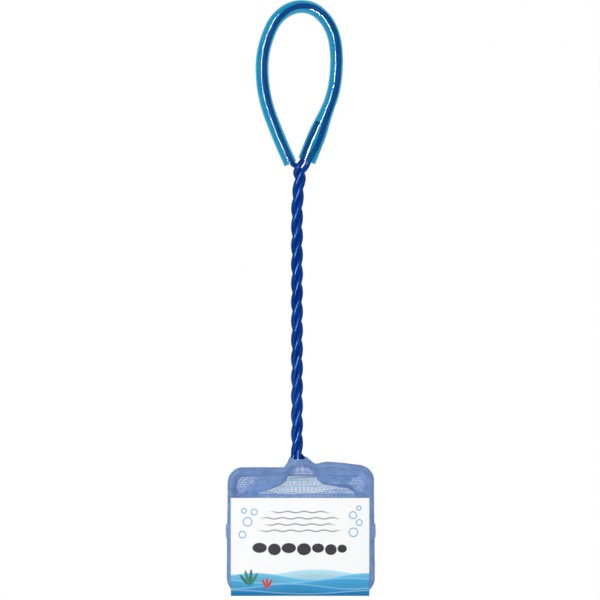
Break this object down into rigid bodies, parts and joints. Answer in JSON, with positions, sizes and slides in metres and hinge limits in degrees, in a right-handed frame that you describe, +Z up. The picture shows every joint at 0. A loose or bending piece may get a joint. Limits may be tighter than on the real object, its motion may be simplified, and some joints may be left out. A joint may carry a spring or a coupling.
{
  "type": "aquarium fish net",
  "caption": "Small aquarium hand net: twisted coated-wire shaft, finger loop with a clear vinyl grip tube, wire frame with a hemmed netting bag and a pull-off header card.",
  "frame": {"origin": "inside top of the finger loop, on the axis of the twisted shaft, where a peg carries the net", "axes": "+Z up the handle, +X to the right seen from the front, +Y back into the net bag"},
  "size_m": [0.0775, 0.0645, 0.3069],
  "materials": {
    "steel_wire": "drawn steel wire",
    "wire_coat": "glossy dark blue vinyl",
    "clear_tube": "clear light-blue vinyl",
    "netting": "soft knitted nylon netting",
    "thread": "sewing thread",
    "card": "coated white card with a printed blue band"
  },
  "bodies": {
    "net": {"steel_core": "steel_wire", "loop_coat": "wire_coat", "shaft_coat_a": "wire_coat", "shaft_coat_b": "wire_coat", "shaft_coat_c": "wire_coat", "frame_coat": "wire_coat", "grip_tube": "clear_tube", "hem_upper_left": "netting", "hem_upper_right": "netting", "hem_lower": "netting", "neck_web": "netting", "bag_upper_panel": "netting", "bag_lower_panel": "netting", "bag_seam": "thread", "left_tack": "thread", "right_tack": "thread", "hem_thread": "thread"},
    "card": {"header_card": "card"}
  },
  "joints": [
    {"name": "card_pull_off", "type": "slide", "parent": "net", "child": "card", "axis": [0, 0, -1], "range_m": [0, 0.06]}
  ]
}
